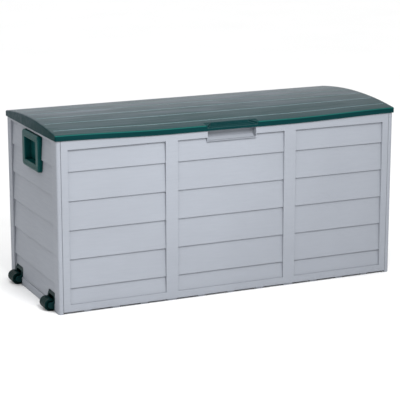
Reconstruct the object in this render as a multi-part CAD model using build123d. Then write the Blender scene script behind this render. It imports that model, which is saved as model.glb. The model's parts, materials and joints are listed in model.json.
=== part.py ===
from build123d import *
import os

# Resin deck storage box: flat-pack wall panels with lap siding, a ribbed floor, an arched
# hinged lid, two cup handles and two transport wheels on the left-hand end.
# All lengths are millimetres. The origin is on the floor under the middle of the box,
# +X runs to the right of someone facing the front, +Y to the rear and +Z up.

# Overall size
BODY_LENGTH = 1114.0
BODY_DEPTH = 454.0
WALL_TOP = 522.0
LID_LENGTH = 1120.0
LID_DEPTH = 462.0
LID_BOTTOM = 517.0
LID_EDGE_TOP = 533.5
LID_CROWN = 551.0

# Moulded sections
SKIN = 3.2
RIB = 2.6
TRAY_DEPTH = 13.6
PANEL_GAP = 0.4
SLIP = 0.2
OVERCUT = 1.0

# Lap siding: each plank leans out from PLANK_DEEP at its top to PLANK_PROUD at its foot
PLANK_DEEP = 8.0
PLANK_PROUD = 3.0
FRONT_PITCH = 87.0
FRONT_FIRST_LAP = 425.3
FRONT_RECESS = (27.2, 490.0)
FRONT_FOOT = 6.0
SIDE_PITCH = 87.8
SIDE_FIRST_LAP = 437.0
SIDE_RECESS = (24.0, 510.0)
LAPS = 5
BATTEN_X = 196.4
BATTEN_WIDTH = 39.3
END_BATTEN = 21.5
SIDE_BATTEN = 37.0
CORNER_ROUND = 6.0
SEAM_CHAMFER = 1.2

# Finger recess in the front panel and the matching notch in the lid's lip
SCOOP_HALF = 80.0
SCOOP_BOTTOM = 479.5
SCOOP_TOP = 516.4
SCOOP_DEPTH = 22.0
SCOOP_RIM = 1.4
SCOOP_COVE = 9.0
SCOOP_CORNER = 4.0
NOTCH_HALF_FRONT = 84.0
NOTCH_HALF_BACK = 62.0
NOTCH_DEPTH = 23.0
NOTCH_LIP_DROP = 8.5
NOTCH_STEP_AT = 0.42
NOTCH_STEP = 2.0
NOTCH_BACK_DROP = 4.0
NOTCH_BACK_LEAN = 3.0

# Floor
FLOOR_TOP = 18.0
FLOOR_RIM_TOP = 38.0
FOOT_WIDTH = 23.0
WIDE_FOOT_WIDTH = 31.0
OUTER_FOOT_PITCH = 90.5
FOOT_REACH = 10.5

# Lid
LID_WALL = 2.5
LID_EDGE_ROUND = 4.0
LID_GROOVE_PITCH = 74.0
LID_GROOVES = 6
GROOVE_RADIUS = 3.6
GROOVE_RISE = 2.0
GROOVE_MARGIN = 11.0
LID_CROSS_RIB_PITCH = 140.0
LID_RIB_CLEARANCE = 0.4

# Handles, one cup moulding on each end
HANDLE_HALF = 75.0
HANDLE_FORWARD = 12.0
HANDLE_Z = (397.0, 507.0)
HANDLE_PROUD = 7.0
HANDLE_CORNER = 12.0
HANDLE_BULLNOSE = 5.0
HANDLE_MOUTH_HALF = 50.5
HANDLE_MOUTH_Z = (417.5, 485.5)
HANDLE_HOOK_TOP = 498.0
HANDLE_POCKET = 15.0
HANDLE_WALL = 3.0
HANDLE_BEVEL = 2.0
HANDLE_GAP = 0.5
RIDGE_RADIUS = 1.1
RIDGE_HALF = 64.0
TOP_RIDGES = (490.0, 494.5, 499.0)
LOW_RIDGES = (404.0, 408.0, 412.0)
HANDLE_SCREW_X = 63.5
HANDLE_SCREW_Z = (407.0, 496.0)

# Wheels, one near each corner of the left-hand end
WHEEL_Y = 152.0
WHEEL_RADIUS = 18.0
WHEEL_HALF = 24.0
AXLE_OUT = 9.5
AXLE_Z = 18.6
AXLE_RADIUS = 3.0
AXLE_BORE = 3.06
WELL_HALF = 32.5
WELL_TOP = 54.0
WELL_ROUND = 7.0
EAR_RADIUS = 9.0
CHEEK_INNER = 24.5
HOUSING_BACK = 10.4
HOUSING_HALF = 40.0
HOUSING_FOOT = 4.0
HOUSING_TOP = 72.0
HOOD_REACH = 8.0
HOOD_DROP = 11.0
HOOD_LIP = 5.0
CHEEK_STEP = 4.0
AXLE_FIT = 0.025
AXLE_TAIL = 3.0
CLIP_RADIUS = 6.0
CLIP_THICKNESS = 1.6
TREAD_ROUND = 1.6
TREAD_GROOVE = 2.0
TREAD_GROOVE_DEPTH = 1.0
DISH_DEPTH = 4.0
DISH_RADIUS = 14.0
HUB_RADIUS = 6.5
HOUSING_SCREW_X = 20.0
HOUSING_SCREW_Z = 64.0

# Hinges along the rear top edge
HINGE_X = (-420.0, -140.0, 140.0, 420.0)
HINGE_OUT = 13.0
HINGE_Z = 508.0
BARREL_RADIUS = 7.0
PIN_RADIUS = 3.0
PIN_BORE = 3.03
LID_BORE = 3.07
LID_KNUCKLE_HALF = 12.0
KNUCKLE_GAP = 0.4
KNUCKLE_OUTER = 24.5
PIN_HEAD = 5.5
PIN_HEAD_HEIGHT = 2.0
STOP_ANGLE = 40.0
STOP_LENGTH = 13.2
STOP_WIDTH = 5.0
WALL_ARM_DROP = 24.0
WALL_ARM_RISE = 3.0
LID_ARM_LOW = 6.0
LID_ARM_HIGH = 4.0

# Screws
SCREW_RADIUS = 2.0
SCREW_LENGTH = 12.0
SCREW_HEAD_RADIUS = 4.0
SCREW_HEAD = 2.4
SCREW_SLOT = (4.6, 0.9, 1.2)
HOUSING_SCREW_LENGTH = 6.0
PILOT_RADIUS = 2.05
PILOT_SPARE = 0.3
CLEAR_RADIUS = 2.3
BOSS_RADIUS = 5.5
CORNER_SCREW_INSET = 25.0
CORNER_SCREW_Z = (90.0, 270.0, 450.0)
CORNER_FLANGE_Z = (40.0, 500.0)
CORNER_FLANGE_REACH = 37.0
FLOOR_SCREW_X = (-368.0, 0.0, 368.0)
FLOOR_SCREW_Z = 30.0

# Sizes that follow from the ones above
HALF_LENGTH = BODY_LENGTH / 2
HALF_DEPTH = BODY_DEPTH / 2
FRONT_HALF = HALF_LENGTH - TRAY_DEPTH - PANEL_GAP
LID_RADIUS = ((LID_DEPTH / 2) ** 2 + (LID_CROWN - LID_EDGE_TOP) ** 2) / (2 * (LID_CROWN - LID_EDGE_TOP))
LID_CENTRE_Z = LID_CROWN - LID_RADIUS
HINGE_Y = HALF_DEPTH + HINGE_OUT
FLOOR_HALF = (HALF_LENGTH - TRAY_DEPTH - 2 * PANEL_GAP, HALF_DEPTH - TRAY_DEPTH - 2 * SLIP)
FLANGE_FACE = HALF_DEPTH - TRAY_DEPTH - SLIP

FRONT = Pos(0, -HALF_DEPTH, 0)
REAR = Pos(0, HALF_DEPTH, 0) * Rot(0, 0, 180)
LEFT = Pos(-HALF_LENGTH, 0, 0) * Rot(0, 0, -90)
RIGHT = Pos(HALF_LENGTH, 0, 0) * Rot(0, 0, 90)
LEFT_HANDLE = LEFT * Pos(HANDLE_FORWARD, 0, 0)
RIGHT_HANDLE = RIGHT * Pos(-HANDLE_FORWARD, 0, 0)


def block(x0, x1, y0, y1, z0, z1):
    """A box from its corner coordinates."""
    return Pos((x0 + x1) / 2, (y0 + y1) / 2, (z0 + z1) / 2) * Box(x1 - x0, y1 - y0, z1 - z0)


def prism_x(outline, x0, x1):
    """A (y, z) outline carried from x0 to x1."""
    face = make_face(Plane.YZ.offset(x0) * Polyline(*outline, close=True))
    return extrude(face, amount=x1 - x0, dir=(1, 0, 0))


def prism_z(outline, z0, z1):
    """An (x, y) outline carried from z0 to z1."""
    face = make_face(Plane.XY.offset(z0) * Polyline(*outline, close=True))
    return extrude(face, amount=z1 - z0, dir=(0, 0, 1))


def rod(start, direction, radius, length):
    """A round bar that begins at start."""
    bar = Cylinder(radius, length, align=(Align.CENTER, Align.CENTER, Align.MIN))
    return Plane(origin=start, z_dir=direction) * bar


def rod_x(x0, x1, y, z, radius):
    return rod((x0, y, z), (1, 0, 0), radius, x1 - x0)


def rounded_plate(half_width, z0, z1, y0, y1, corner):
    """An upright plate in the XZ plane with round corners, from y0 to y1."""
    outline = Plane.XZ * Pos(0, (z0 + z1) / 2) * RectangleRounded(2 * half_width, z1 - z0, corner)
    return Pos(0, y0, 0) * extrude(outline, amount=y1 - y0, dir=(0, 1, 0))


def screw(seat, direction, length=SCREW_LENGTH):
    """A pan-head screw whose head bears on seat, with its shank along direction."""
    slot_length, slot_width, slot_depth = SCREW_SLOT
    head = Pos(0, 0, -SCREW_HEAD / 2) * Cylinder(SCREW_HEAD_RADIUS, SCREW_HEAD)
    shank = Pos(0, 0, length / 2) * Cylinder(SCREW_RADIUS, length)
    body = head + chamfer(shank.edges().sort_by(Axis.Z)[-1], SCREW_RADIUS / 2)
    slot_z = -SCREW_HEAD + slot_depth / 2
    for turn in (0, 90):
        body -= Pos(0, 0, slot_z) * Rot(0, 0, turn) * Box(slot_length, slot_width, slot_depth)
    return Plane(origin=seat, z_dir=direction) * body


# Wall panels. Each is drawn as a tray along X: outer face on y = 0, open back at TRAY_DEPTH.

def siding_outline(recess, laps):
    """The hollow in front of the planks, as (y, z) points from the top down."""
    bottom, top = recess
    points = [(-OVERCUT, top), (PLANK_DEEP, top)]
    for z in laps:
        points += [(PLANK_PROUD, z), (PLANK_DEEP, z)]
    return points + [(PLANK_PROUD, bottom), (-OVERCUT, bottom)]


def core_outline(recess, laps, foot):
    """The hollow behind the planks, one skin thickness away from their faces."""
    bottom, top = recess
    back = TRAY_DEPTH + OVERCUT
    points = [(back, WALL_TOP - SKIN), (SKIN, WALL_TOP - SKIN)]
    points += [(SKIN, top + SKIN), (PLANK_DEEP + SKIN, top + SKIN)]
    for z in laps:
        points += [(PLANK_PROUD + SKIN, z + SKIN), (PLANK_DEEP + SKIN, z + SKIN)]
    points += [(PLANK_PROUD + SKIN, bottom - SKIN), (SKIN, bottom - SKIN)]
    return points + [(SKIN, foot + SKIN), (back, foot + SKIN)]


def wall_panel(half_width, foot, bays, recess, first_lap, pitch, ribs, extras=()):
    """A siding tray. Extras are solids fused on before the outer face is cut."""
    laps = [first_lap - pitch * i for i in range(LAPS)]
    panel = block(-half_width, half_width, 0, TRAY_DEPTH, foot, WALL_TOP)
    edges = [-half_width] + [edge for bay in bays for edge in bay] + [half_width]
    for left, right in zip(edges[::2], edges[1::2]):
        panel -= block(left + SKIN, right - SKIN, SKIN, TRAY_DEPTH + OVERCUT, foot + SKIN, WALL_TOP - SKIN)
    for left, right in bays:
        panel -= prism_x(core_outline(recess, laps, foot), left - SKIN, right + SKIN)
    for x in ribs:
        panel += block(x - RIB / 2, x + RIB / 2, 0, TRAY_DEPTH, foot, WALL_TOP)
    for extra in extras:
        panel += extra
    for left, right in bays:
        panel -= prism_x(siding_outline(recess, laps), left, right)
    return panel


def screw_boss(x, z, depth=TRAY_DEPTH):
    return rod((x, 0, z), (0, 1, 0), BOSS_RADIUS, depth)


def long_wall():
    """The three-bay wall shared by the front and the rear."""
    inner = BATTEN_X - BATTEN_WIDTH / 2
    outer = BATTEN_X + BATTEN_WIDTH / 2
    end = FRONT_HALF - END_BATTEN
    bays = [(-end, -outer), (-inner, inner), (outer, end)]
    centre_rib = (outer + end) / 2
    corner_x = HALF_LENGTH - CORNER_SCREW_INSET
    places = [(side * corner_x, z) for side in (-1, 1) for z in CORNER_SCREW_Z]
    places += [(x, FLOOR_SCREW_Z) for x in FLOOR_SCREW_X]
    panel = wall_panel(
        FRONT_HALF, FRONT_FOOT, bays, FRONT_RECESS, FRONT_FIRST_LAP, FRONT_PITCH,
        ribs=[-centre_rib, -BATTEN_X, BATTEN_X, centre_rib],
        extras=[screw_boss(x, z) for x, z in places],
    )
    pilot = OVERCUT + SCREW_LENGTH - SKIN + PILOT_SPARE
    for x, z in places:
        panel -= rod((x, TRAY_DEPTH + OVERCUT, z), (0, -1, 0), PILOT_RADIUS, pilot)
    return chamfer(upright_edges(panel, FRONT_HALF, 0), SEAM_CHAMFER)


def upright_edges(panel, x, y):
    """The two full-height edges of a tray at +x and -x, at depth y."""
    edges = panel.edges().filter_by(Axis.Z)
    edges = [edge for edge in edges if abs(abs(edge.center().X) - x) < SLIP and edge.length > WALL_TOP / 2]
    return [edge for edge in edges if abs(edge.center().Y - y) < SLIP]


def front_panel():
    """The long wall with the finger recess let into its top edge."""
    rim = SCOOP_HALF + SCOOP_RIM
    dip = NOTCH_HALF_FRONT + SKIN + OVERCUT
    rail_foot = FRONT_RECESS[1] + SKIN
    panel = long_wall()
    panel += block(-dip, dip, 0, TRAY_DEPTH, rail_foot, SCOOP_TOP)
    panel += block(-rim, rim, 0, SCOOP_DEPTH + SKIN, SCOOP_BOTTOM - SCOOP_RIM, SCOOP_TOP)
    panel -= finger_hollow()
    panel -= block(-dip, dip, -OVERCUT, SCOOP_DEPTH + SKIN + OVERCUT, SCOOP_TOP, WALL_TOP + OVERCUT)
    return FRONT * panel


def finger_hollow():
    """The room for fingers under the lid, coved where its back meets its floor."""
    top = WALL_TOP + OVERCUT
    outline = [
        (-OVERCUT, SCOOP_BOTTOM), (SCOOP_DEPTH - SCOOP_COVE, SCOOP_BOTTOM),
        (SCOOP_DEPTH, SCOOP_BOTTOM + SCOOP_COVE), (SCOOP_DEPTH, top), (-OVERCUT, top),
    ]
    hollow = prism_x(outline, -SCOOP_HALF, SCOOP_HALF)
    return fillet(hollow.edges().filter_by(Axis.Y).group_by(Axis.Z)[0], SCOOP_CORNER)


def rear_panel():
    """The long wall with a pair of knuckles for each hinge."""
    panel = REAR * long_wall()
    face = HALF_DEPTH - SKIN / 2
    arm_top = HINGE_Z + WALL_ARM_RISE
    barrel_foot = HINGE_Z - BARREL_RADIUS
    arm = [(face, HINGE_Z - WALL_ARM_DROP), (HINGE_Y, barrel_foot), (HINGE_Y, arm_top), (face, arm_top)]
    inner = LID_KNUCKLE_HALF + KNUCKLE_GAP
    for hinge in HINGE_X:
        for x0, x1 in ((hinge - KNUCKLE_OUTER, hinge - inner), (hinge + inner, hinge + KNUCKLE_OUTER)):
            panel += prism_x(arm, x0, x1)
            panel += rod_x(x0, x1, HINGE_Y, HINGE_Z, BARREL_RADIUS)
            panel -= rod_x(x0 - OVERCUT, x1 + OVERCUT, HINGE_Y, HINGE_Z, PIN_BORE)
    return panel


def end_wall(handle_x, wells=()):
    """An end wall: corner posts, flanges that lap behind the long walls, and a handle seat."""
    end = HALF_DEPTH - SIDE_BATTEN
    low, high = HANDLE_Z
    margin = HANDLE_GAP + SKIN
    seat_half = HANDLE_HALF + margin
    seat_back = PLANK_DEEP + SKIN
    well_half = WELL_HALF + SKIN
    well_back = HOUSING_BACK - SLIP
    extras = [Pos(handle_x, 0, 0) * block(-seat_half, seat_half, 0, seat_back, low - margin, high + margin)]
    for x in wells:
        extras.append(block(x - well_half, x + well_half, 0, well_back, 0, WELL_TOP + SKIN))
        for side in (-1, 1):
            extras.append(screw_boss(x + side * HOUSING_SCREW_X, HOUSING_SCREW_Z, well_back))
    flange_low, flange_high = CORNER_FLANGE_Z
    for side in (-1, 1):
        near, far = sorted((side * FLANGE_FACE, side * (FLANGE_FACE - SKIN)))
        extras.append(block(near, far, 0, CORNER_FLANGE_REACH, flange_low, flange_high))
    panel = wall_panel(HALF_DEPTH, 0, [(-end, end)], SIDE_RECESS, SIDE_FIRST_LAP, SIDE_PITCH, [], extras)

    pocket = HANDLE_HALF + HANDLE_GAP
    cup = HANDLE_MOUTH_HALF + HANDLE_WALL + PANEL_GAP
    cup_low = HANDLE_MOUTH_Z[0] - HANDLE_WALL - PANEL_GAP
    cup_high = HANDLE_HOOK_TOP + HANDLE_WALL + PANEL_GAP
    seat = rounded_plate(pocket, low - HANDLE_GAP, high + HANDLE_GAP, -OVERCUT, PLANK_DEEP, HANDLE_CORNER)
    seat += block(-cup, cup, 0, TRAY_DEPTH + OVERCUT, cup_low, cup_high)
    for x in (-HANDLE_SCREW_X, HANDLE_SCREW_X):
        for z in HANDLE_SCREW_Z:
            seat += rod((x, 0, z), (0, 1, 0), CLEAR_RADIUS, TRAY_DEPTH)
    panel -= Pos(handle_x, 0, 0) * seat
    for side in (-1, 1):
        for z in CORNER_SCREW_Z:
            start = (side * (FLANGE_FACE + OVERCUT), CORNER_SCREW_INSET, z)
            panel -= rod(start, (-side, 0, 0), CLEAR_RADIUS, SKIN + 2 * OVERCUT)
    back = TRAY_DEPTH + OVERCUT
    opening = rounded_plate(WELL_HALF, -2 * WELL_ROUND, WELL_TOP, -OVERCUT, back, WELL_ROUND)
    for x in wells:
        panel -= Pos(x, 0, 0) * opening
        for side in (-1, 1):
            start = (x + side * HOUSING_SCREW_X, HOUSING_BACK, HOUSING_SCREW_Z)
            panel -= rod(start, (0, -1, 0), PILOT_RADIUS, HOUSING_SCREW_LENGTH - SKIN + PILOT_SPARE)
    panel = fillet(upright_edges(panel, HALF_DEPTH, 0), CORNER_ROUND)
    return chamfer(upright_edges(panel, HALF_DEPTH, TRAY_DEPTH), SEAM_CHAMFER)


# Floor

def foot_places():
    """(x, width) of every foot rail; the wide ones stand under the battens."""
    places = [(0.0, FOOT_WIDTH)]
    for side in (-1, 1):
        places.append((side * BATTEN_X / 2, FOOT_WIDTH))
        places.append((side * BATTEN_X, WIDE_FOOT_WIDTH))
        for step in (1, 2, 3):
            places.append((side * (BATTEN_X + step * OUTER_FOOT_PITCH), FOOT_WIDTH))
    return places


def floor_panel():
    """A plate with an upstand all round and hollow foot rails from front to rear."""
    half_x, half_y = FLOOR_HALF
    inner_x = half_x - SKIN
    inner_y = half_y - SKIN
    floor = block(-half_x, half_x, -half_y, half_y, FLOOR_TOP - SKIN, FLOOR_RIM_TOP)
    floor -= block(-inner_x, inner_x, -inner_y, inner_y, FLOOR_TOP, FLOOR_RIM_TOP + OVERCUT)
    foot_end = half_y + FOOT_REACH
    foot_top = FRONT_FOOT - PANEL_GAP
    for x, width in foot_places():
        half = width / 2
        floor += block(x - half, x + half, -half_y, half_y, 0, FLOOR_TOP)
        floor += block(x - half, x + half, -foot_end, foot_end, 0, foot_top)
        floor -= block(x - half + SKIN, x + half - SKIN, -inner_y, inner_y, SKIN, FLOOR_TOP + OVERCUT)
    for side in (-1, 1):
        for x in FLOOR_SCREW_X:
            start = (x, side * (half_y + OVERCUT), FLOOR_SCREW_Z)
            floor -= rod(start, (0, -side, 0), CLEAR_RADIUS, SKIN + 2 * OVERCUT)
    return floor


# Lid

def lid_surface(y):
    """Height of the lid's arched top above the floor at depth y."""
    return LID_CENTRE_Z + (LID_RADIUS ** 2 - y ** 2) ** 0.5


def arched_bar(half_x, half_y, bottom, drop, round_edges):
    """A bar along X under the lid's arch, lowered by drop, with its top edges rounded."""
    edge_z = lid_surface(half_y) - drop
    crown = LID_CROWN - drop
    outline = Polyline((-half_y, edge_z), (-half_y, bottom), (half_y, bottom), (half_y, edge_z))
    arch = ThreePointArc((-half_y, edge_z), (0, crown), (half_y, edge_z))
    face = make_face(outline + arch)
    shoulders = face.vertices().sort_by(Axis.Y)[-2:]
    face = fillet(shoulders, round_edges)
    return extrude(Plane.YZ.offset(-half_x) * face, amount=2 * half_x, dir=(1, 0, 0))


def lid_notch():
    """The hollow cut in the lip above the finger recess: a stepped slope with splayed ends."""
    front = -LID_DEPTH / 2
    back = front + NOTCH_DEPTH
    step = front + NOTCH_DEPTH * NOTCH_STEP_AT
    lip_z = LID_EDGE_TOP - NOTCH_LIP_DROP
    back_z = LID_EDGE_TOP - NOTCH_BACK_DROP
    step_z = (lip_z + back_z) / 2
    slope = [
        (front - OVERCUT, LID_CROWN), (back, LID_CROWN), (back, LID_EDGE_TOP),
        (back - NOTCH_BACK_LEAN, back_z), (step, step_z + NOTCH_STEP / 2),
        (step, step_z - NOTCH_STEP / 2), (front, lip_z), (front - OVERCUT, lip_z),
    ]
    plan = [
        (-NOTCH_HALF_FRONT, front - OVERCUT), (NOTCH_HALF_FRONT, front - OVERCUT),
        (NOTCH_HALF_BACK, back), (-NOTCH_HALF_BACK, back),
    ]
    return prism_x(slope, -NOTCH_HALF_FRONT, NOTCH_HALF_FRONT) & prism_z(plan, LID_BOTTOM, LID_CROWN)


def lid_panel():
    half_x = LID_LENGTH / 2
    half_y = LID_DEPTH / 2
    shell = arched_bar(half_x, half_y, LID_BOTTOM, 0, LID_EDGE_ROUND)
    ends = [edge for edge in shell.edges() if abs(edge.center().X) > half_x - SLIP]
    shell = fillet([edge for edge in ends if edge.center().Z > LID_BOTTOM + SLIP], LID_EDGE_ROUND)
    inside = arched_bar(half_x - LID_WALL, half_y - LID_WALL, LID_BOTTOM - OVERCUT, SKIN, LID_EDGE_ROUND / 2)
    shell -= inside

    rib_bottom = WALL_TOP + LID_RIB_CLEARANCE
    ribs = Part()
    groove_y = [LID_GROOVE_PITCH * (i - (LID_GROOVES - 1) / 2) for i in range(LID_GROOVES)]
    for y in groove_y:
        ribs += block(-half_x, half_x, y - RIB / 2, y + RIB / 2, rib_bottom, LID_CROWN)
    cross_count = int(LID_LENGTH / LID_CROSS_RIB_PITCH) - 1
    for i in range(cross_count):
        x = LID_CROSS_RIB_PITCH * (i - (cross_count - 1) / 2)
        ribs += block(x - RIB / 2, x + RIB / 2, -half_y, half_y, rib_bottom, LID_CROWN)
    shell += ribs & inside

    notch_floor = block(
        -NOTCH_HALF_FRONT - SKIN, NOTCH_HALF_FRONT + SKIN, -half_y, -half_y + NOTCH_DEPTH + SKIN,
        LID_EDGE_TOP - NOTCH_LIP_DROP - SKIN, LID_CROWN,
    )
    lip_bar = arched_bar(half_x, half_y, LID_BOTTOM, 0, LID_EDGE_ROUND)
    shell += notch_floor & lip_bar
    shell -= lid_notch()

    for y in groove_y:
        centre = lid_surface(y) + GROOVE_RISE
        shell -= rod_x(-half_x + GROOVE_MARGIN, half_x - GROOVE_MARGIN, y, centre, GROOVE_RADIUS)
    return shell + lid_knuckles()


def lid_knuckles():
    """One barrel per hinge, its arm up to the lid's rear skirt, and the heel that stops the lid."""
    skirt = LID_DEPTH / 2 - LID_WALL
    arm = [
        (skirt, LID_BOTTOM), (skirt, LID_EDGE_TOP - LID_ARM_LOW),
        (skirt + LID_WALL, LID_EDGE_TOP - LID_ARM_HIGH),
        (HINGE_Y + BARREL_RADIUS, HINGE_Z), (HINGE_Y - BARREL_RADIUS, HINGE_Z),
    ]
    knuckles = Part()
    for hinge in HINGE_X:
        x0 = hinge - LID_KNUCKLE_HALF
        x1 = hinge + LID_KNUCKLE_HALF
        heel = Box(x1 - x0, STOP_WIDTH, STOP_LENGTH, align=(Align.CENTER, Align.CENTER, Align.MAX))
        knuckle = prism_x(arm, x0, x1) + rod_x(x0, x1, HINGE_Y, HINGE_Z, BARREL_RADIUS)
        knuckle += Pos(hinge, HINGE_Y, HINGE_Z) * Rot(STOP_ANGLE, 0, 0) * heel
        knuckles += knuckle - rod_x(x0 - OVERCUT, x1 + OVERCUT, HINGE_Y, HINGE_Z, LID_BORE)
    return knuckles


def hinge_pin(hinge):
    """A headed pin through both wall knuckles and the lid knuckle between them."""
    shaft = rod_x(hinge - KNUCKLE_OUTER - OVERCUT, hinge + KNUCKLE_OUTER + SLIP, HINGE_Y, HINGE_Z, PIN_RADIUS)
    shaft = chamfer(shaft.edges().sort_by(Axis.X)[0], PIN_RADIUS / 4)
    head_start = hinge + KNUCKLE_OUTER + SLIP
    head = rod_x(head_start, head_start + PIN_HEAD_HEIGHT, HINGE_Y, HINGE_Z, PIN_HEAD)
    return shaft + chamfer(head.edges().sort_by(Axis.X)[-1], PIN_HEAD_HEIGHT / 3)


# Handles, drawn like the wall panels with the wall's outer face on y = 0

def handle():
    """A cup with a bullnosed frame, ridged strips and a hollow to hook fingers into."""
    low, high = HANDLE_Z
    seat = PLANK_DEEP - SLIP
    face = -HANDLE_PROUD
    frame = rounded_plate(HANDLE_HALF, low, high, face, seat, HANDLE_CORNER)
    frame = fillet(frame.faces().sort_by(Axis.Y)[0].edges(), HANDLE_BULLNOSE)
    hollow_corner = HANDLE_CORNER - HANDLE_WALL
    frame -= rounded_plate(
        HANDLE_HALF - HANDLE_WALL, low + HANDLE_WALL, high - HANDLE_WALL,
        face + HANDLE_WALL, seat + OVERCUT, hollow_corner,
    )
    mouth_low, mouth_high = HANDLE_MOUTH_Z
    cup_half = HANDLE_MOUTH_HALF + HANDLE_WALL
    frame += block(
        -cup_half, cup_half, face + HANDLE_WALL / 2, HANDLE_POCKET + HANDLE_WALL,
        mouth_low - HANDLE_WALL, HANDLE_HOOK_TOP + HANDLE_WALL,
    )
    boss_places = [(x, z) for x in (-HANDLE_SCREW_X, HANDLE_SCREW_X) for z in HANDLE_SCREW_Z]
    for x, z in boss_places:
        boss = rod((x, face + HANDLE_WALL / 2, z), (0, 1, 0), BOSS_RADIUS, seat - face - HANDLE_WALL / 2)
        frame += boss - rod((x, seat + OVERCUT, z), (0, -1, 0), PILOT_RADIUS, SCREW_LENGTH - SKIN + OVERCUT)
    ridges = list(TOP_RIDGES) + list(LOW_RIDGES)
    for z in ridges:
        frame += rod_x(-RIDGE_HALF, RIDGE_HALF, face, z, RIDGE_RADIUS)
    half = HANDLE_MOUTH_HALF
    frame -= block(-half, half, face + HANDLE_WALL, HANDLE_POCKET, mouth_low, HANDLE_HOOK_TOP)
    frame -= rounded_plate(half, mouth_low, mouth_high, face - OVERCUT, HANDLE_POCKET, HANDLE_BEVEL)
    return frame - mouth_bevel(face, mouth_low, mouth_high)


def mouth_bevel(face, low, high):
    """The bevel round the handle's mouth."""
    outer = HANDLE_MOUTH_HALF + HANDLE_BEVEL
    section = Plane.XZ.offset(-face) * Pos(0, (low + high) / 2)
    mouth_face = section * Rectangle(2 * outer, high - low + 2 * HANDLE_BEVEL)
    return extrude(mouth_face, amount=HANDLE_BEVEL, dir=(0, 1, 0), taper=45)


def handle_screws(place):
    """Four screws from inside the box, through the wall's seat into the handle."""
    seat = PLANK_DEEP + SKIN
    places = [(x, seat, z) for x in (-HANDLE_SCREW_X, HANDLE_SCREW_X) for z in HANDLE_SCREW_Z]
    return place * (Part() + [screw(spot, (0, -1, 0)) for spot in places])


# Wheels and their housings, drawn like the left wall panel round a well centred on x = 0

def wheel_housing():
    """Back plate, two cheeks with axle ears and a slanted hood over the wheel."""
    outer = WELL_HALF - PANEL_GAP
    top = WELL_TOP - PANEL_GAP
    back = HOUSING_BACK
    housing = block(-HOUSING_HALF, HOUSING_HALF, back, TRAY_DEPTH, HOUSING_FOOT, HOUSING_TOP)
    ear_top = AXLE_Z + EAR_RADIUS
    ear_low = AXLE_Z - EAR_RADIUS
    lip = (back - HOOD_REACH, top - HOOD_DROP)
    cheek = [
        (back, HOUSING_FOOT), (back, top), lip, (0, ear_top + CHEEK_STEP), (-CHEEK_STEP, ear_top),
        (-AXLE_OUT, ear_top), (-AXLE_OUT, ear_low), (-CHEEK_STEP, ear_low), (0, HOUSING_FOOT),
    ]
    for side in (-1, 1):
        near, far = sorted((side * CHEEK_INNER, side * outer))
        housing += prism_x(cheek, near, far)
        housing += rod_x(near, far, -AXLE_OUT, AXLE_Z, EAR_RADIUS)
    hood = [(back, top), lip, (back - HOOD_LIP, top - HOOD_DROP), (back, top - HOOD_LIP)]
    housing += prism_x(hood, -outer, outer)
    housing -= rod_x(-outer - OVERCUT, outer - SKIN / 2, -AXLE_OUT, AXLE_Z, AXLE_RADIUS + AXLE_FIT)
    crown = rounded_plate(outer, -2 * WELL_ROUND, top, -2 * AXLE_OUT - OVERCUT, back - SLIP, WELL_ROUND)
    behind = block(-HOUSING_HALF, HOUSING_HALF, back - SLIP, TRAY_DEPTH, HOUSING_FOOT, HOUSING_TOP)
    housing &= crown + behind
    for side in (-1, 1):
        start = (side * HOUSING_SCREW_X, TRAY_DEPTH + OVERCUT, HOUSING_SCREW_Z)
        housing -= rod(start, (0, -1, 0), CLEAR_RADIUS, TRAY_DEPTH)
    return housing


def housing_screws():
    spots = [(side * HOUSING_SCREW_X, TRAY_DEPTH, HOUSING_SCREW_Z) for side in (-1, 1)]
    return Part() + [screw(spot, (0, -1, 0), HOUSING_SCREW_LENGTH) for spot in spots]


def wheel():
    """A wide roller with dished ends, grooved tread and a running bore."""
    roller = rod_x(-WHEEL_HALF, WHEEL_HALF, -AXLE_OUT, AXLE_Z, WHEEL_RADIUS)
    rims = [edge for edge in roller.edges() if abs(edge.center().X) > WHEEL_HALF - SLIP]
    roller = fillet(rims, TREAD_ROUND)
    for side in (-1, 1):
        near, far = sorted((side * (WHEEL_HALF - DISH_DEPTH), side * (WHEEL_HALF + OVERCUT)))
        dish = rod_x(near, far, -AXLE_OUT, AXLE_Z, DISH_RADIUS)
        roller -= dish - rod_x(near, far, -AXLE_OUT, AXLE_Z, HUB_RADIUS)
    for x in (-WHEEL_HALF / 2, 0, WHEEL_HALF / 2):
        near = x - TREAD_GROOVE / 2
        far = x + TREAD_GROOVE / 2
        groove = rod_x(near, far, -AXLE_OUT, AXLE_Z, WHEEL_RADIUS + OVERCUT)
        roller -= groove - rod_x(near, far, -AXLE_OUT, AXLE_Z, WHEEL_RADIUS - TREAD_GROOVE_DEPTH)
    return roller - rod_x(-2 * WHEEL_HALF, 2 * WHEEL_HALF, -AXLE_OUT, AXLE_Z, AXLE_BORE)


def axle():
    """A plain pin: blind in the front cheek, through the rear cheek and the clip."""
    outer = WELL_HALF - PANEL_GAP
    pin = rod_x(-outer - AXLE_TAIL, outer - SKIN / 2 - SLIP, -AXLE_OUT, AXLE_Z, AXLE_RADIUS)
    return chamfer(pin.edges().sort_by(Axis.X)[0], AXLE_RADIUS / 5)


def axle_clip():
    """A domed push-on washer on the axle's open end."""
    start = -WELL_HALF + PANEL_GAP - SLIP
    clip = rod_x(start - CLIP_THICKNESS, start, -AXLE_OUT, AXLE_Z, CLIP_RADIUS)
    clip = chamfer(clip.edges().sort_by(Axis.X)[0], CLIP_THICKNESS / 2)
    return clip - rod_x(start - AXLE_TAIL, start + OVERCUT, -AXLE_OUT, AXLE_Z, AXLE_RADIUS + AXLE_FIT)


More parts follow.
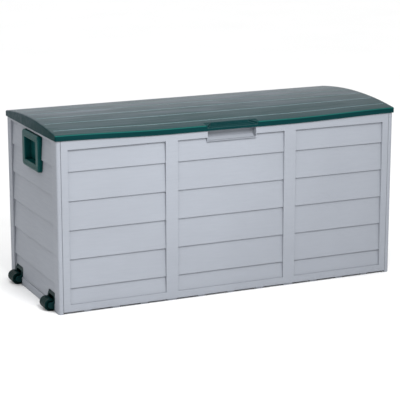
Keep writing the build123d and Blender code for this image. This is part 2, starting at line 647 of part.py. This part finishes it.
def corner_screws(side_x, side_y):
    """Screws through an end wall's flange into a long wall's bosses."""
    x = side_x * (HALF_LENGTH - CORNER_SCREW_INSET)
    y = side_y * (FLANGE_FACE - SKIN)
    return Part() + [screw((x, y, z), (0, side_y, 0)) for z in CORNER_SCREW_Z]


def floor_screws(side_y):
    """Screws through the floor's upstand into a long wall's bosses."""
    y = side_y * (FLOOR_HALF[1] - SKIN)
    return Part() + [screw((x, y, FLOOR_SCREW_Z), (0, side_y, 0)) for x in FLOOR_SCREW_X]


def all_nodes():
    """Every piece of the box by name."""
    nodes = {
        "front_panel": front_panel(),
        "rear_panel": rear_panel(),
        "left_side_panel": LEFT * end_wall(HANDLE_FORWARD, wells=(-WHEEL_Y, WHEEL_Y)),
        "right_side_panel": RIGHT * end_wall(-HANDLE_FORWARD),
        "floor_panel": floor_panel(),
        "lid_panel": lid_panel(),
        "left_handle": LEFT_HANDLE * handle(),
        "right_handle": RIGHT_HANDLE * handle(),
        "left_handle_screws": handle_screws(LEFT_HANDLE),
        "right_handle_screws": handle_screws(RIGHT_HANDLE),
        "front_floor_screws": floor_screws(-1),
        "rear_floor_screws": floor_screws(1),
    }
    for index, hinge in enumerate(HINGE_X, start=1):
        nodes[f"hinge_pin_{index}"] = hinge_pin(hinge)
    for end, side_x in (("left", -1), ("right", 1)):
        for face, side_y in (("front", -1), ("rear", 1)):
            nodes[f"{end}_{face}_corner_screws"] = corner_screws(side_x, side_y)
    for corner, x in (("front", WHEEL_Y), ("rear", -WHEEL_Y)):
        place = LEFT * Pos(x, 0, 0)
        nodes[f"{corner}_wheel_housing"] = place * wheel_housing()
        nodes[f"{corner}_wheel_housing_screws"] = place * housing_screws()
        nodes[f"{corner}_wheel"] = place * wheel()
        nodes[f"{corner}_wheel_axle"] = place * axle()
        nodes[f"{corner}_axle_clip"] = place * axle_clip()
    return nodes


os.makedirs("parts", exist_ok=True)
for name, shape in all_nodes().items():
    export_step(shape, f"parts/{name}.step")
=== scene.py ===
import json
from math import pi, radians

import bmesh
import bpy
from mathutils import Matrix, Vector


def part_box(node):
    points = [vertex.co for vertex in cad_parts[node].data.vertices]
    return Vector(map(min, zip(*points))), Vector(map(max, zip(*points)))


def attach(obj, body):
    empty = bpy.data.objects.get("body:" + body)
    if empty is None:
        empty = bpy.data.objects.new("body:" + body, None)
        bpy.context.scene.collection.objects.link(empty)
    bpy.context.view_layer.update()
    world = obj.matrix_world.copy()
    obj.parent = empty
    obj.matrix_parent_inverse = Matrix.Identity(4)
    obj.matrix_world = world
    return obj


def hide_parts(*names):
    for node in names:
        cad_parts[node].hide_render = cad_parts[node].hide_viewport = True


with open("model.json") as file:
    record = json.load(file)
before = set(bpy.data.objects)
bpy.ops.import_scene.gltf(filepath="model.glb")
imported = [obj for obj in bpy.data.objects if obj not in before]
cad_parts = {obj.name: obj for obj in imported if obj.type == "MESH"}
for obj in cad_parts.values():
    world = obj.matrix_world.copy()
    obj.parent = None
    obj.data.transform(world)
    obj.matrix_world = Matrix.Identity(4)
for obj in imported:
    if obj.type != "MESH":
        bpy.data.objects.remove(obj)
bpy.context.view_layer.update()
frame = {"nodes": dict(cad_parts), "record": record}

# Camera: a long lens looking down at the front from the left
CAMERA_PLACE = (-2.0043, -4.3948, 1.4069)
CAMERA_YAW = 24.49
CAMERA_PITCH = 13.56
CAMERA_LENS = 141.7
CAMERA_SENSOR = 36.0
CAMERA_REACH = 60.0

# Studio: a room bright overhead and at the back, dim in front and at the sides, and one key light
ROOM = 0.33
CEILING = 0.86
BACKDROP = 0.85
KEY_PLACE = (-0.28, -1.64, 1.58)
KEY_TARGET = (-0.28, -0.23, 0.50)
KEY_WIDTH = 0.8
KEY_HEIGHT = 0.6
KEY_SPREAD = 150
KEY_POWER = 27

# Lid: the front lip sags between its stiff ends, which stand a little proud
BOW_SAG = 0.0060
BOW_RISE = 0.0012
BOW_FLAT_HALF = 0.19
BOW_CURVE = 1.5
BOW_SLICES = 56
BOW_ROWS = 8
NOTCH_HALF = 0.088
NOTCH_BACK = 0.0235
REST_GAP = 0.0004
WELD = 1e-6
SHARP_ANGLE = 28

# Colours, as linear red, green and blue
GREY = (0.275, 0.293, 0.328)
LID_GREEN = (0.0025, 0.025, 0.027)
# The lid's paler colours below are painted light: a sheen on its top, highlights in its grooves and on its
# lip, and edges that are part wear, part painted highlight.
LID_SHEEN = (0.112, 0.130, 0.154)
LID_GROOVE_HIGHLIGHT = (0.26, 0.34, 0.36)
LID_EDGE_WEAR_AND_HIGHLIGHT = (0.02, 0.10, 0.09)
LIP_HIGHLIGHT = (0.012, 0.12, 0.10)
# Trim, housing and wheel colours come in pairs: a body colour, then a paler edge colour that is part wear,
# part painted highlight.
TRIM_GREEN = (0.003, 0.044, 0.044)
TRIM_EDGE_WEAR_AND_HIGHLIGHT = (0.05, 0.20, 0.19)
HOUSING_GREEN = (0.002, 0.016, 0.017)
HOUSING_EDGE_WEAR_AND_HIGHLIGHT = (0.02, 0.075, 0.075)
WHEEL_BLACK = (0.001, 0.011, 0.011)
WHEEL_EDGE_WEAR_AND_HIGHLIGHT = (0.006, 0.050, 0.050)
# Zinc: dull and bright plating, then a paler edge colour that is part wear, part painted highlight.
ZINC_DULL = (0.55, 0.55, 0.52)
ZINC_BRIGHT = (0.72, 0.72, 0.70)
ZINC_EDGE_WEAR_AND_HIGHLIGHT = (0.80, 0.80, 0.80)

FLOOR_HALF = 14.0
FLOOR_DARK = (0.90, 0.90, 0.90)
FLOOR_PALE = (0.94, 0.94, 0.94)


def make_camera():
    data = bpy.data.cameras.new("camera")
    data.lens = CAMERA_LENS
    data.sensor_width = CAMERA_SENSOR
    data.clip_end = CAMERA_REACH
    camera = bpy.data.objects.new("camera", data)
    camera.location = CAMERA_PLACE
    camera.rotation_euler = (radians(90 - CAMERA_PITCH), 0, radians(-CAMERA_YAW))
    bpy.context.scene.collection.objects.link(camera)
    bpy.context.scene.camera = camera


def make_key_light():
    data = bpy.data.lights.new("key", "AREA")
    data.shape = "RECTANGLE"
    data.size = KEY_WIDTH
    data.size_y = KEY_HEIGHT
    data.spread = radians(KEY_SPREAD)
    data.energy = KEY_POWER
    light = bpy.data.objects.new("key", data)
    light.location = KEY_PLACE
    light.rotation_euler = (Vector(KEY_TARGET) - Vector(KEY_PLACE)).to_track_quat("-Z", "Y").to_euler()
    light.visible_camera = False
    bpy.context.scene.collection.objects.link(light)


def make_world():
    world = bpy.data.worlds.new("studio")
    world.use_nodes = True
    nodes, links = world.node_tree.nodes, world.node_tree.links
    direction = nodes.new("ShaderNodeSeparateXYZ")
    links.new(nodes.new("ShaderNodeTexCoord").outputs["Generated"], direction.inputs["Vector"])

    def glow(axis, start, full, dim, bright):
        """A brightness that rises smoothly as the direction turns towards an axis."""
        ramp = nodes.new("ShaderNodeMapRange")
        ramp.interpolation_type = "SMOOTHSTEP"
        for name, value in (("From Min", start), ("From Max", full), ("To Min", dim), ("To Max", bright)):
            ramp.inputs[name].default_value = value
        links.new(direction.outputs[axis], ramp.inputs["Value"])
        return ramp.outputs["Result"]

    total = nodes.new("ShaderNodeMath")
    total.operation = "ADD"
    links.new(glow("Z", 0.20, 0.85, ROOM, ROOM + CEILING), total.inputs[0])
    links.new(glow("Y", 0.25, 0.95, 0.0, BACKDROP), total.inputs[1])
    links.new(total.outputs["Value"], nodes["Background"].inputs["Strength"])
    nodes["Background"].inputs["Color"].default_value = (1.0, 1.0, 1.0, 1.0)
    bpy.context.scene.world = world
    bpy.context.scene.view_settings.view_transform = "Standard"


# Materials

class Graph:
    """A material's nodes, made and linked by short calls."""

    def __init__(self, name):
        self.material = bpy.data.materials.new(name)
        self.material.use_nodes = True
        self.tree = self.material.node_tree
        self.tree.nodes.clear()
        self.output = self.node("ShaderNodeOutputMaterial")
        self.shader = self.node("ShaderNodeBsdfPrincipled")
        self.link(self.shader.outputs["BSDF"], self.output.inputs["Surface"])
        self.place = self.node("ShaderNodeTexCoord").outputs["Object"]

    def node(self, kind, **settings):
        node = self.tree.nodes.new(kind)
        for key, value in settings.items():
            setattr(node, key, value)
        return node

    def link(self, source, target):
        self.tree.links.new(source, target)

    def noise(self, scale, stretch=(1, 1, 1), detail=4.0, roughness=0.55, distortion=0.0):
        """A noise value whose pattern is drawn out by 1/stretch along each axis."""
        mapping = self.node("ShaderNodeMapping")
        mapping.inputs["Scale"].default_value = stretch
        self.link(self.place, mapping.inputs["Vector"])
        noise = self.node("ShaderNodeTexNoise")
        noise.inputs["Scale"].default_value = scale
        noise.inputs["Detail"].default_value = detail
        noise.inputs["Roughness"].default_value = roughness
        noise.inputs["Distortion"].default_value = distortion
        self.link(mapping.outputs["Vector"], noise.inputs["Vector"])
        return noise.outputs["Fac"]

    def remap(self, value, low, high, to_low, to_high):
        span = self.node("ShaderNodeMapRange")
        span.inputs["From Min"].default_value = low
        span.inputs["From Max"].default_value = high
        span.inputs["To Min"].default_value = to_low
        span.inputs["To Max"].default_value = to_high
        self.link(value, span.inputs["Value"])
        return span.outputs["Result"]

    def mix(self, factor, first, second):
        """Blend two colours, each a tuple or a socket."""
        mix = self.node("ShaderNodeMix", data_type="RGBA")
        self.link(factor, mix.inputs["Factor"])
        for socket, colour in ((mix.inputs["A"], first), (mix.inputs["B"], second)):
            if isinstance(colour, tuple):
                socket.default_value = (*colour, 1.0)
            else:
                self.link(colour, socket)
        return mix.outputs["Result"]

    def bump(self, height, depth, normal=None):
        bump = self.node("ShaderNodeBump")
        bump.inputs["Strength"].default_value = 1.0
        bump.inputs["Distance"].default_value = depth
        self.link(height, bump.inputs["Height"])
        if normal is not None:
            self.link(normal, bump.inputs["Normal"])
        return bump.outputs["Normal"]

    def soft_edges(self, radius):
        """Normals rounded at edges, and a mask that is 1 on an edge."""
        bevel = self.node("ShaderNodeBevel", samples=6)
        bevel.inputs["Radius"].default_value = radius
        geometry = self.node("ShaderNodeNewGeometry")
        dot = self.node("ShaderNodeVectorMath", operation="DOT_PRODUCT")
        self.link(bevel.outputs["Normal"], dot.inputs[0])
        self.link(geometry.outputs["Normal"], dot.inputs[1])
        return bevel.outputs["Normal"], self.remap(dot.outputs["Value"], 0.99, 0.80, 0.0, 1.0)

    def crevice(self, reach, shallow=0.9, deep=0.3):
        """0 in the open, rising towards 1 deep in a corner."""
        occlusion = self.node("ShaderNodeAmbientOcclusion", samples=6)
        occlusion.inputs["Distance"].default_value = reach
        return self.remap(occlusion.outputs["AO"], shallow, deep, 0.0, 1.0)

    def along(self, source, axis, low, high):
        """0 to 1 as one component of the place or of the normal, in the piece's own axes, goes up."""
        parts = self.node("ShaderNodeSeparateXYZ")
        self.link(self.node("ShaderNodeTexCoord").outputs[source], parts.inputs["Vector"])
        return self.remap(parts.outputs[axis], low, high, 0.0, 1.0)

    def product(self, first, second):
        product = self.node("ShaderNodeMath", operation="MULTIPLY")
        self.link(first, product.inputs[0])
        self.link(second, product.inputs[1])
        return product.outputs["Value"]

    def set(self, **values):
        """Set the shader's own sockets, each from a number, a colour or another socket."""
        for name, value in values.items():
            socket = self.shader.inputs[name.replace("_", " ")]
            if isinstance(value, bpy.types.NodeSocket):
                self.link(value, socket)
            elif isinstance(value, tuple):
                socket.default_value = (*value, 1.0)
            else:
                socket.default_value = value


def shade(colour, factor):
    return tuple(channel * factor for channel in colour)


def grey_resin():
    """Light grey moulded panels with a faint wood grain along each board, paler edges that are part wear,
    part painted highlight, and painted shade in corners.
    """
    graph = Graph("grey_resin")
    normal, edges = graph.soft_edges(0.0012)
    grain = graph.noise(60.0, (0.25, 0.25, 4.0), detail=6.0, roughness=0.6, distortion=0.5)
    pores = graph.noise(900.0, detail=2.0)
    cloud = graph.noise(2.5, detail=3.0)
    body = graph.mix(graph.remap(cloud, 0.35, 0.65, 0.0, 1.0), shade(GREY, 1.03), shade(GREY, 0.96))
    body = graph.mix(graph.remap(grain, 0.35, 0.60, 0.20, 0.0), body, shade(GREY, 0.88))
    # Paler along edges: partly wear, partly a painted highlight.
    body = graph.mix(graph.remap(edges, 0.0, 1.0, 0.0, 0.4), body, shade(GREY, 1.25))
    # Painted shade: darker in corners and creases, found by the occlusion mask.
    body = graph.mix(graph.remap(graph.crevice(0.004), 0.0, 1.0, 0.0, 0.5), body, shade(GREY, 0.35))
    normal = graph.bump(pores, 0.00005, graph.bump(grain, 0.00003, normal))
    graph.set(
        Base_Color=body, Roughness=graph.remap(grain, 0.3, 0.7, 0.58, 0.46), Normal=normal,
        Specular_IOR_Level=0.1,
    )
    return graph.material


def lid_green_resin():
    """Dark green lid with an embossed wood grain and a painted sheen where it faces up, stronger towards
    the back.
    """
    graph = Graph("lid_green_resin")
    low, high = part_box("lid_panel")
    front = low.y
    normal, edges = graph.soft_edges(0.003)
    boards = graph.noise(4.0, (1.0, 9.0, 9.0), detail=6.0, roughness=0.60, distortion=1.0)
    fibres = graph.noise(60.0, (0.10, 2.0, 2.0), detail=4.0, roughness=0.65, distortion=0.4)
    pores = graph.noise(800.0, detail=2.0)
    blotches = graph.noise(6.0, (1.0, 3.0, 3.0), detail=3.0)

    in_notch = graph.product(
        graph.along("Object", "Y", front + NOTCH_BACK + 0.001, front + NOTCH_BACK),
        graph.product(
            graph.along("Object", "X", -NOTCH_HALF, -NOTCH_HALF + 0.002),
            graph.along("Object", "X", NOTCH_HALF, NOTCH_HALF - 0.002),
        ),
    )
    up = graph.product(graph.along("Normal", "Z", 0.45, 0.70), graph.remap(in_notch, 0.0, 1.0, 1.0, 0.0))
    streaks = graph.remap(boards, 0.40, 0.62, 0.30, 0.85)
    streaks = graph.product(streaks, graph.remap(blotches, 0.38, 0.62, 0.72, 1.15))
    backwards = graph.along("Object", "Y", front, 0.02)
    top_sheen = graph.product(streaks, graph.remap(backwards, 0.0, 1.0, 0.20, 1.0))
    # Painted highlight along the rounded top of the front lip, weaker in the notch.
    rounding = graph.product(graph.along("Normal", "Z", 0.10, 0.35), graph.along("Normal", "Z", 0.93, 0.80))
    lip = graph.product(rounding, graph.along("Object", "Y", front + 0.008, front + 0.005))
    lip = graph.product(lip, graph.remap(in_notch, 0.0, 1.0, 1.0, 0.25))

    body = graph.mix(graph.remap(fibres, 0.35, 0.65, 0.0, 1.0), LID_GREEN, shade(LID_GREEN, 1.25))
    # Painted sheen on up-facing surfaces, following the streaks and stronger towards the back.
    body = graph.mix(graph.product(up, top_sheen), body, LID_SHEEN)
    # Painted sheen on both ends of the lid, stronger towards the back.
    towards_rear = graph.product(streaks, graph.along("Object", "Y", front + 0.05, 0.05))
    for side, end in ((-1, low.x), (1, high.x)):
        facing = graph.along("Normal", "X", side * 0.5, side * 0.9)
        gable = graph.product(facing, graph.along("Object", "X", end - side * 0.030, end - side * 0.025))
        gable_sheen = graph.product(gable, towards_rear)
        body = graph.mix(graph.remap(gable_sheen, 0.0, 1.0, 0.0, 0.5), body, LID_SHEEN)
    # Painted highlight: paler lines in the grooves of up-facing surfaces.
    groove_highlight = graph.crevice(0.008, 0.98, 0.86)
    body = graph.mix(graph.product(up, graph.remap(groove_highlight, 0.0, 1.0, 0.0, 0.7)), body, LID_GROOVE_HIGHLIGHT)
    # Paler along edges: partly wear, partly a painted highlight.
    body = graph.mix(graph.remap(edges, 0.0, 1.0, 0.0, 0.35), body, LID_EDGE_WEAR_AND_HIGHLIGHT)
    # Painted highlight along the edges of the notch, in the sheen colour.
    notch_rim_highlight = graph.product(in_notch, edges)
    body = graph.mix(graph.remap(notch_rim_highlight, 0.0, 1.0, 0.0, 0.4), body, LID_SHEEN)
    body = graph.mix(graph.remap(lip, 0.0, 1.0, 0.0, 0.6), body, LIP_HIGHLIGHT)
    normal = graph.bump(pores, 0.00004, graph.bump(fibres, 0.00010, graph.bump(boards, 0.0012, normal)))
    graph.set(
        Base_Color=body, Roughness=graph.remap(boards, 0.3, 0.7, 0.30, 0.46), Normal=normal,
        Specular_IOR_Level=graph.remap(up, 0.0, 1.0, 0.012, 0.035),
    )
    return graph.material


def plain_resin(name, colour, edge_wear_and_highlight, roughness, specular):
    """Smooth moulded trim in one dark colour, a little paler along its edges from wear and a painted
    highlight, with painted shade in its corners.
    """
    graph = Graph(name)
    normal, edges = graph.soft_edges(0.0012)
    cloud = graph.noise(14.0, detail=4.0)
    pores = graph.noise(900.0, detail=2.0)
    body = graph.mix(graph.remap(cloud, 0.3, 0.7, 0.0, 1.0), colour, shade(colour, 1.35))
    # Paler along edges: partly wear, partly a painted highlight.
    body = graph.mix(graph.remap(edges, 0.0, 1.0, 0.0, 0.7), body, edge_wear_and_highlight)
    # Painted shade: darker in corners and creases, found by the occlusion mask.
    body = graph.mix(graph.remap(graph.crevice(0.006), 0.0, 1.0, 0.0, 0.7), body, shade(colour, 0.3))
    graph.set(
        Base_Color=body, Roughness=graph.remap(cloud, 0.3, 0.7, roughness, roughness + 0.1),
        Normal=graph.bump(pores, 0.00006, normal), Specular_IOR_Level=specular,
    )
    return graph.material


def zinc_steel():
    """Plated screws and pins."""
    graph = Graph("zinc_steel")
    normal, edges = graph.soft_edges(0.0003)
    spangle = graph.noise(700.0, detail=3.0)
    scratch = graph.noise(400.0, (1, 1, 12), detail=2.0)
    body = graph.mix(graph.remap(spangle, 0.3, 0.7, 0.0, 1.0), ZINC_DULL, ZINC_BRIGHT)
    # Paler along edges: partly wear, partly a painted highlight.
    body = graph.mix(graph.remap(edges, 0.0, 1.0, 0.0, 0.5), body, ZINC_EDGE_WEAR_AND_HIGHLIGHT)
    graph.set(
        Base_Color=body, Roughness=graph.remap(spangle, 0.2, 0.8, 0.28, 0.46),
        Normal=graph.bump(scratch, 0.00005, normal), Metallic=1.0,
    )
    return graph.material


def make_materials():
    """One material for each material slot of the record."""
    return {
        "grey_resin": grey_resin(),
        "lid_green_resin": lid_green_resin(),
        "trim_green_resin": plain_resin("trim_green_resin", TRIM_GREEN, TRIM_EDGE_WEAR_AND_HIGHLIGHT, 0.30, 0.06),
        "wheel_black_resin": plain_resin("wheel_black_resin", WHEEL_BLACK, WHEEL_EDGE_WEAR_AND_HIGHLIGHT, 0.30, 0.03),
        "zinc_steel": zinc_steel(),
    }


def dress_cad_nodes(materials):
    """Give every CAD node the material of its slot; the wheel housings are a darker green."""
    darker = plain_resin("housing_green_resin", HOUSING_GREEN, HOUSING_EDGE_WEAR_AND_HIGHLIGHT, 0.32, 0.06)
    for entry in frame["record"]["subparts"]:
        piece = frame["nodes"][entry["node"]]
        material = materials[entry["material_slot"]]
        if entry["node"].endswith("wheel_housing"):
            material = darker
        piece.data.materials.clear()
        piece.data.materials.append(material)


# Lid

def smooth(value):
    value = min(max(value, 0.0), 1.0)
    return value * value * (3 - 2 * value)


def bow_drop(x, y, half_length, front):
    """How far the lid sinks at a place: most along the middle of the lip, nothing from the crown back."""
    towards_end = smooth((abs(x) - BOW_FLAT_HALF) / (half_length - BOW_FLAT_HALF))
    towards_lip = max(y / front, 0.0) ** BOW_CURVE
    return (BOW_SAG - (BOW_SAG + BOW_RISE) * towards_end) * towards_lip


def slice_across(mesh, axis, low, high, count):
    """Cut long faces into strips, so that they can bend."""
    normal = Vector((0, 0, 0))
    normal[axis] = 1
    for i in range(1, count):
        place = normal * (low + (high - low) * i / count)
        geometry = mesh.verts[:] + mesh.edges[:] + mesh.faces[:]
        bmesh.ops.bisect_plane(mesh, geom=geometry, plane_co=place, plane_no=normal, dist=WELD)


def make_bowed_lid(material):
    """The lid panel with the sag that its thin front lip has when it is shut."""
    low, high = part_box("lid_panel")
    wall_low, wall_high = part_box("front_panel")
    side_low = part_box("left_side_panel")[0]
    shelf = wall_high.z + REST_GAP
    mesh = bmesh.new()
    mesh.from_mesh(frame["nodes"]["lid_panel"].data)
    bmesh.ops.remove_doubles(mesh, verts=mesh.verts, dist=WELD)
    slice_across(mesh, 0, low.x, high.x, BOW_SLICES)
    slice_across(mesh, 1, low.y, 0.0, BOW_ROWS)
    for vertex in mesh.verts:
        place = vertex.co
        drop = bow_drop(place.x, place.y, high.x, low.y)
        over_wall = place.y > wall_low.y and abs(place.x) < -side_low.x
        if over_wall and drop > 0 and place.z >= wall_high.z:
            drop = min(drop, max(place.z - shelf, 0.0))
        place.z -= drop
    for face in mesh.faces:
        face.smooth = True
    for edge in mesh.edges:
        edge.smooth = edge.calc_face_angle(pi) < radians(SHARP_ANGLE)
    data = bpy.data.meshes.new("bowed_lid")
    mesh.to_mesh(data)
    mesh.free()
    if "custom_normal" in data.attributes:
        data.attributes.remove(data.attributes["custom_normal"])
    data.materials.clear()
    data.materials.append(material)
    lid = bpy.data.objects.new("bowed_lid", data)
    bpy.context.scene.collection.objects.link(lid)
    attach(lid, "lid")
    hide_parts("lid_panel")


# Stage

def make_floor():
    half = FLOOR_HALF
    corners = [(-half, -half, 0), (half, -half, 0), (half, half, 0), (-half, half, 0)]
    data = bpy.data.meshes.new("floor")
    data.from_pydata(corners, [], [(0, 1, 2, 3)])
    floor = bpy.data.objects.new("floor", data)
    bpy.context.scene.collection.objects.link(floor)
    graph = Graph("pale_floor")
    mottle = graph.noise(1.5, detail=3.0)
    graph.set(Base_Color=graph.mix(mottle, FLOOR_DARK, FLOOR_PALE), Roughness=0.7)
    data.materials.append(graph.material)


make_camera()
make_world()
make_key_light()
make_floor()
materials = make_materials()
dress_cad_nodes(materials)
make_bowed_lid(materials["lid_green_resin"])
